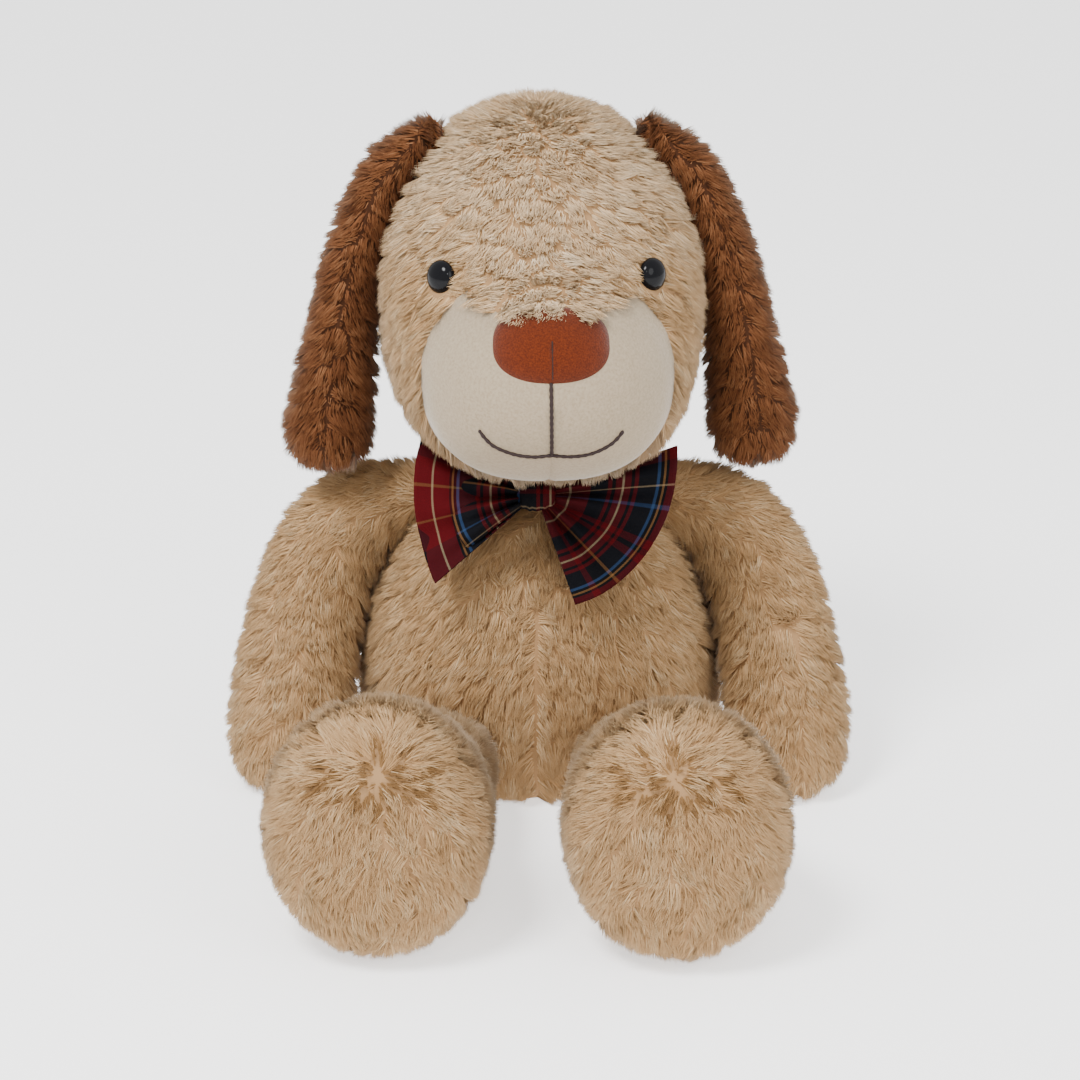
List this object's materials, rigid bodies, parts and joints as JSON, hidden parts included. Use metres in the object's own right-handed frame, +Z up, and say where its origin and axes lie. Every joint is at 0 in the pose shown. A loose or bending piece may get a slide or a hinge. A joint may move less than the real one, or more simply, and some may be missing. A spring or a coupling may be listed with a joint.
{
  "type": "plush dog",
  "caption": "Sitting plush puppy with hanging brown ears, a velour muzzle, safety eyes and a checked cloth bow at the neck.",
  "frame": {"origin": "middle of the footprint's bounding box, on the floor that the dog sits on", "axes": "+Z up through the head, the dog faces -Y, its left side is +X"},
  "size_m": [0.2704, 0.334, 0.301],
  "materials": {
    "pile_beige": "shaggy pile plush, golden brown at the roots and pale at the tips",
    "pile_brown": "shaggy pile plush, dark brown",
    "velour_cream": "short smooth velour",
    "nose_suede": "russet faux suede",
    "eye_black": "polished black safety eye",
    "washer_white": "moulded lock washer",
    "stitch_thread": "embroidery thread, near black",
    "seam_thread": "sewing thread, beige",
    "bow_tartan": "woven checked cloth in red, navy, cream and pale blue",
    "fibre_fill": "loose polyester fibre filling",
    "pellet_cloth": "plain bag of plastic pellets"
  },
  "bodies": {
    "torso": {"bow_knot": "bow_tartan", "closing_stitches": "seam_thread", "pellet_bag": "pellet_cloth", "torso_back_left": "pile_beige", "torso_back_right": "pile_beige", "torso_front_left": "pile_beige", "torso_front_right": "pile_beige", "torso_seat": "pile_beige", "torso_stuffing": "fibre_fill"},
    "neck": {"neck_stuffing": "fibre_fill"},
    "head": {"eye_left": "eye_black", "eye_right": "eye_black", "eye_washer_left": "washer_white", "eye_washer_right": "washer_white", "head_back_left": "pile_beige", "head_back_right": "pile_beige", "head_gusset": "pile_beige", "head_side_left": "pile_beige", "head_side_right": "pile_beige", "head_stuffing": "fibre_fill", "mouth_stitching": "stitch_thread", "muzzle_left": "velour_cream", "muzzle_right": "velour_cream", "nose_cover": "nose_suede", "nose_stuffing": "fibre_fill"},
    "ear_left": {"ear_left_lining": "pile_brown", "ear_left_outer": "pile_brown"},
    "ear_right": {"ear_right_lining": "pile_brown", "ear_right_outer": "pile_brown"},
    "arm_left": {"arm_left_inner": "pile_beige", "arm_left_outer": "pile_beige", "arm_left_stuffing": "fibre_fill"},
    "arm_right": {"arm_right_inner": "pile_beige", "arm_right_outer": "pile_beige", "arm_right_stuffing": "fibre_fill"},
    "leg_left": {"leg_left_cover": "pile_beige", "leg_left_sole": "pile_beige", "leg_left_stuffing": "fibre_fill"},
    "leg_right": {"leg_right_cover": "pile_beige", "leg_right_sole": "pile_beige", "leg_right_stuffing": "fibre_fill"},
    "tail": {"tail_cover": "pile_beige", "tail_stuffing": "fibre_fill"},
    "bow_wing_left": {"bow_wing_left": "bow_tartan"},
    "bow_wing_right": {"bow_wing_right": "bow_tartan"}
  },
  "joints": [
    {"name": "neck_turn", "type": "hinge", "parent": "torso", "child": "neck", "pos_m": [0, 0.06385, 0.147], "axis": [0, 0, 1], "range_deg": [-30, 25]},
    {"name": "neck_nod", "type": "hinge", "parent": "neck", "child": "head", "pos_m": [0, 0.06385, 0.147], "axis": [0.9976, 0.0698, 0], "range_deg": [-20, 5]},
    {"name": "ear_left_flap", "type": "hinge", "parent": "head", "child": "ear_left", "pos_m": [0.03948, 0.07263, 0.292], "axis": [0.0698, -0.9976, 0], "range_deg": [0, 60]},
    {"name": "ear_right_flap", "type": "hinge", "parent": "head", "child": "ear_right", "pos_m": [-0.04032, 0.06705, 0.292], "axis": [-0.0698, 0.9976, 0], "range_deg": [0, 60]},
    {"name": "arm_left_swing", "type": "hinge", "parent": "torso", "child": "arm_left", "pos_m": [0.06, 0.06385, 0.124], "axis": [-1, 0, 0], "range_deg": [-25, 60]},
    {"name": "arm_right_swing", "type": "hinge", "parent": "torso", "child": "arm_right", "pos_m": [-0.06, 0.06385, 0.124], "axis": [-1, 0, 0], "range_deg": [-25, 60]},
    {"name": "leg_left_lift", "type": "hinge", "parent": "torso", "child": "leg_left", "pos_m": [0.045, -0.00415, 0.03], "axis": [-1, 0, 0], "range_deg": [0, 20]},
    {"name": "leg_right_lift", "type": "hinge", "parent": "torso", "child": "leg_right", "pos_m": [-0.045, -0.00415, 0.03], "axis": [-1, 0, 0], "range_deg": [0, 20]},
    {"name": "tail_wag", "type": "hinge", "parent": "torso", "child": "tail", "pos_m": [0, 0.13285, 0.024], "axis": [0, 0, 1], "range_deg": [-30, 30]},
    {"name": "bow_wing_left_droop", "type": "hinge", "parent": "torso", "child": "bow_wing_left", "pos_m": [0, 0.00685, 0.144], "axis": [0, -0.9135, 0.4067], "range_deg": [-15, 0]},
    {"name": "bow_wing_right_droop", "type": "hinge", "parent": "torso", "child": "bow_wing_right", "pos_m": [0, 0.00685, 0.144], "axis": [0, -0.9135, 0.4067], "range_deg": [0, 15]}
  ]
}
